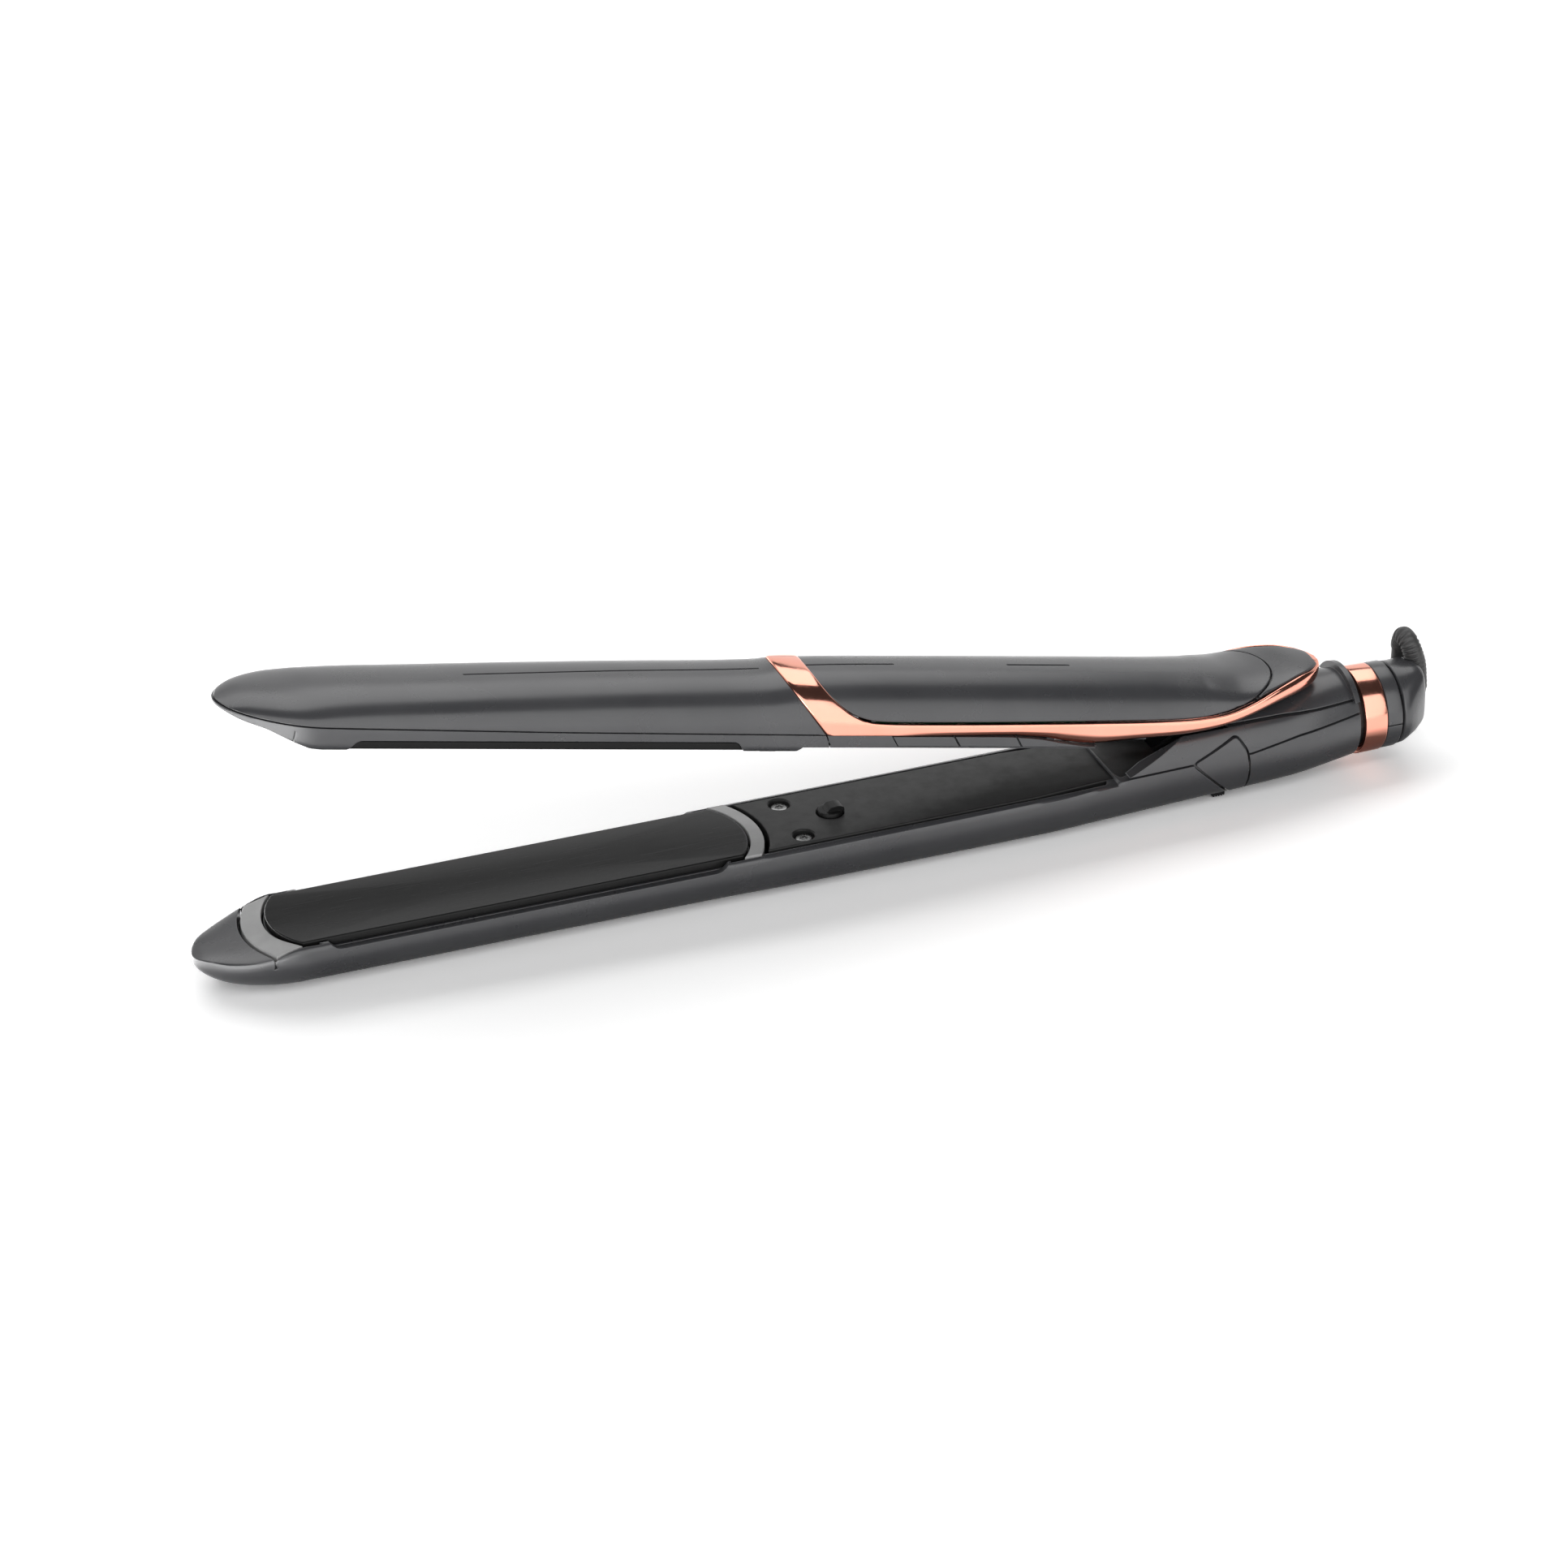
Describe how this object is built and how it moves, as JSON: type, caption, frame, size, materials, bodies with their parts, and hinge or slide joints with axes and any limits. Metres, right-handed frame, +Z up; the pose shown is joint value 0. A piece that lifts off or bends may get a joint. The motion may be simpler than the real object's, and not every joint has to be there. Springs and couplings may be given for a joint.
{
  "type": "flat iron",
  "caption": "Hair straightener with two hinged arms, sprung heating plates, a button strip on the handle, a slide lock under the hinge and a swivelling cord.",
  "frame": {"origin": "middle of the flat on the belly of the lower arm, on the table", "axes": "+X from the nose to the cord, +Y across the arms to the side without buttons, +Z up from the lower arm to the upper arm"},
  "size_m": [0.3209, 0.0299, 0.0777],
  "materials": {
    "soft_touch": "satin soft-touch coating",
    "inner_plastic": "moulded, fine grain",
    "plate_coating": "smooth ceramic coating",
    "insulator": "moulded heat-resistant plastic",
    "rose_gold": "polished rose-gold plating",
    "steel": "bright",
    "heater_ceramic": "ceramic",
    "board": "solder mask",
    "rubber": "moulded rubber"
  },
  "bodies": {
    "lower_arm": {"lower_housing": "soft_touch", "lower_front_insulator": "insulator", "lower_rear_insulator": "insulator", "lower_inner_cover": "inner_plastic", "cover_screw_near": "steel", "cover_screw_far": "steel", "closing_bumper": "rubber", "hub_frame": "soft_touch", "hub_top_cover": "soft_touch", "hinge_saddle": "soft_touch", "hinge_pin": "steel", "hinge_spring": "steel", "trim_ring": "rose_gold", "end_cap_upper": "soft_touch", "end_cap_lower": "soft_touch", "cord_socket": "inner_plastic", "lower_lead": "rubber"},
    "upper_arm": {"upper_housing": "soft_touch", "upper_frame": "soft_touch", "upper_front_insulator": "insulator", "upper_rear_insulator": "insulator", "handle_base": "soft_touch", "base_screw_near": "steel", "base_screw_far": "steel", "hinge_lug": "inner_plastic", "circuit_board": "board", "mode_button_front_switch": "inner_plastic", "mode_button_rear_switch": "inner_plastic", "power_button_switch": "inner_plastic", "handle_trim": "rose_gold", "handle_cover": "soft_touch", "handle_end_insert": "soft_touch", "upper_lead": "rubber"},
    "lower_plate_float": {"lower_plate": "plate_coating", "lower_plate_carrier": "inner_plastic", "lower_heater": "heater_ceramic", "lower_float_spring": "steel"},
    "upper_plate_float": {"upper_plate": "plate_coating", "upper_plate_carrier": "inner_plastic", "upper_heater": "heater_ceramic", "upper_float_spring": "steel"},
    "lock": {"lock_slider": "rubber"},
    "swivel": {"swivel_cap": "soft_touch", "strain_relief": "rubber", "cord": "rubber"},
    "power_button": {"power_button": "soft_touch"},
    "mode_button_front": {"mode_button_front": "soft_touch"},
    "mode_button_rear": {"mode_button_rear": "soft_touch"}
  },
  "joints": [
    {"name": "arm_hinge", "type": "hinge", "parent": "lower_arm", "child": "upper_arm", "pos_m": [0.092, 0, 0.0116], "axis": [0, 1, 0], "range_deg": [-11.8, 0], "stiffness_Nm_per_rad": 0.5, "springref_deg": 28.65},
    {"name": "lower_plate_slide", "type": "slide", "parent": "lower_arm", "child": "lower_plate_float", "axis": [0, 0, -1], "range_m": [0, 0.0006], "stiffness_N_per_m": 1500, "springref_m": -0.0006},
    {"name": "upper_plate_slide", "type": "slide", "parent": "upper_arm", "child": "upper_plate_float", "axis": [0.2045, 0, 0.9789], "range_m": [0, 0.0006], "stiffness_N_per_m": 1500, "springref_m": -0.0006},
    {"name": "lock_slide", "type": "slide", "parent": "lower_arm", "child": "lock", "axis": [-1, 0, 0], "range_m": [0, 0.004]},
    {"name": "cord_swivel", "type": "hinge", "parent": "lower_arm", "child": "swivel", "pos_m": [0.137, 0, 0.0147], "axis": [1, 0, 0], "continuous": true},
    {"name": "power_button_press", "type": "slide", "parent": "upper_arm", "child": "power_button", "axis": [0, 1, 0], "range_m": [0, 0.0005], "stiffness_N_per_m": 60, "springref_m": -0.003},
    {"name": "mode_button_front_press", "type": "slide", "parent": "upper_arm", "child": "mode_button_front", "axis": [0, 1, 0], "range_m": [0, 0.0005], "stiffness_N_per_m": 60, "springref_m": -0.003},
    {"name": "mode_button_rear_press", "type": "slide", "parent": "upper_arm", "child": "mode_button_rear", "axis": [0, 1, 0], "range_m": [0, 0.0005], "stiffness_N_per_m": 60, "springref_m": -0.003}
  ]
}
